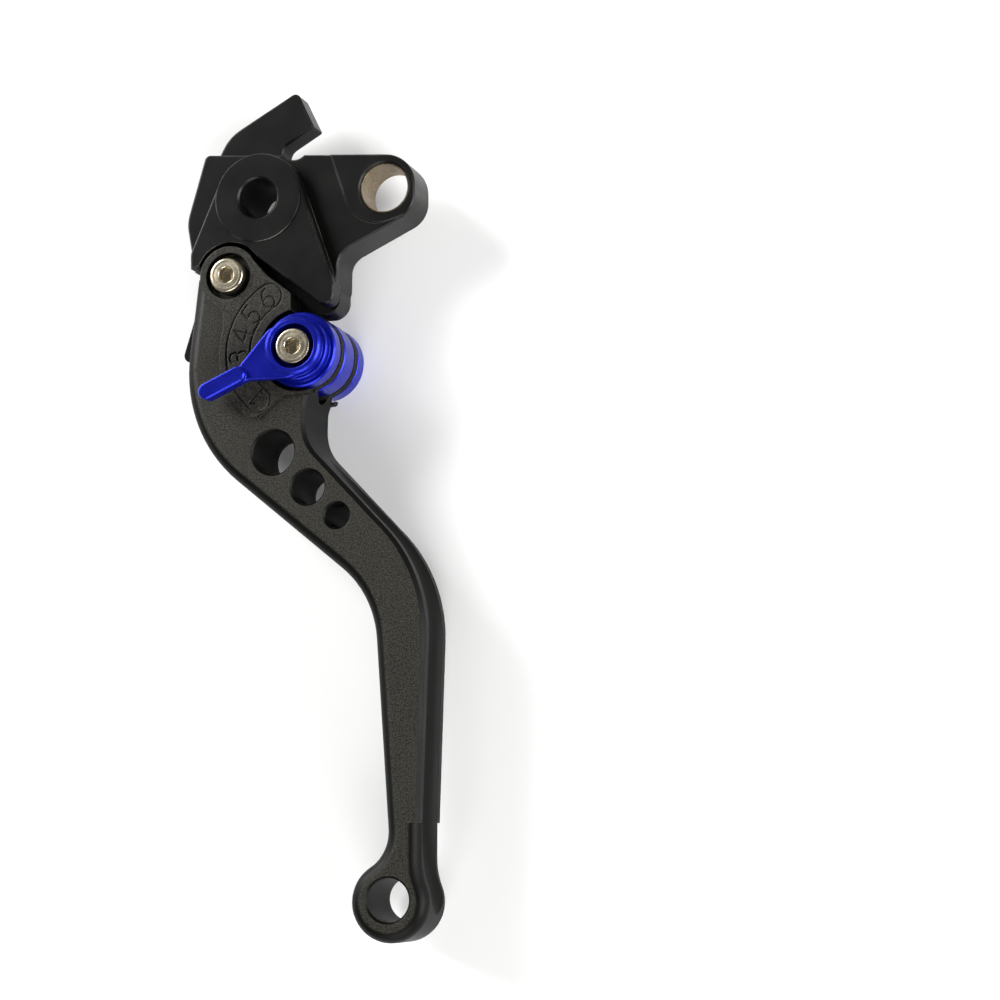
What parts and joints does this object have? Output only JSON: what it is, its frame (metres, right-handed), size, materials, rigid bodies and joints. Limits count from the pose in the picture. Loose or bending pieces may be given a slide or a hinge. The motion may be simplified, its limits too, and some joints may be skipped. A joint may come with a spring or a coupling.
{
  "type": "clutch lever",
  "caption": "Short machined clutch lever with a folding-joint base, a forked blade with a ball end, and a numbered thumb dial that sets its reach.",
  "frame": {"origin": "centre of the pivot bore, halfway along it", "axes": "+Z along the pivot bore to the face with the dial, -Y out to the ball end, +X back to the grip"},
  "size_m": [0.0536, 0.1704, 0.0224],
  "materials": {
    "black_anodised_base": "smooth black anodised, satin",
    "black_anodised_blade": "bead blasted, black anodised, matt with a fine sparkle",
    "blue_anodised": "turned, blue anodised, satin",
    "screw_steel": "nickel plated, bright",
    "ground_steel": "ground",
    "bronze_liner": "plain bearing bronze, worn smooth",
    "black_nylon": "black nylon",
    "spring_steel": "drawn spring wire"
  },
  "bodies": {
    "base": {"lever_base": "black_anodised_base", "actuator_bush": "bronze_liner"},
    "blade": {"lever_blade": "black_anodised_blade", "pivot_screw": "screw_steel", "pivot_sleeve": "ground_steel", "pivot_nut": "screw_steel", "upper_washer": "black_nylon", "lower_washer": "black_nylon", "reach_spring": "spring_steel"},
    "dial": {"thumb_lever": "blue_anodised", "adjuster_screw": "screw_steel", "adjuster_spindle": "ground_steel", "adjuster_cam": "blue_anodised", "adjuster_cap": "blue_anodised"}
  },
  "joints": [
    {"name": "blade_reach", "type": "hinge", "parent": "base", "child": "blade", "pos_m": [-0.006, -0.01575, 0], "axis": [0, 0, 1], "range_deg": [-1.2, 4.8], "deforming": ["reach_spring"]},
    {"name": "dial_turn", "type": "hinge", "parent": "blade", "child": "dial", "pos_m": [0.0093, -0.0316, 0], "axis": [0, 0, 1], "range_deg": [-81.6, 20.4]}
  ],
  "couplings": [
    {"joint": "dial_turn", "follows": "blade_reach", "ratio": -17}
  ]
}
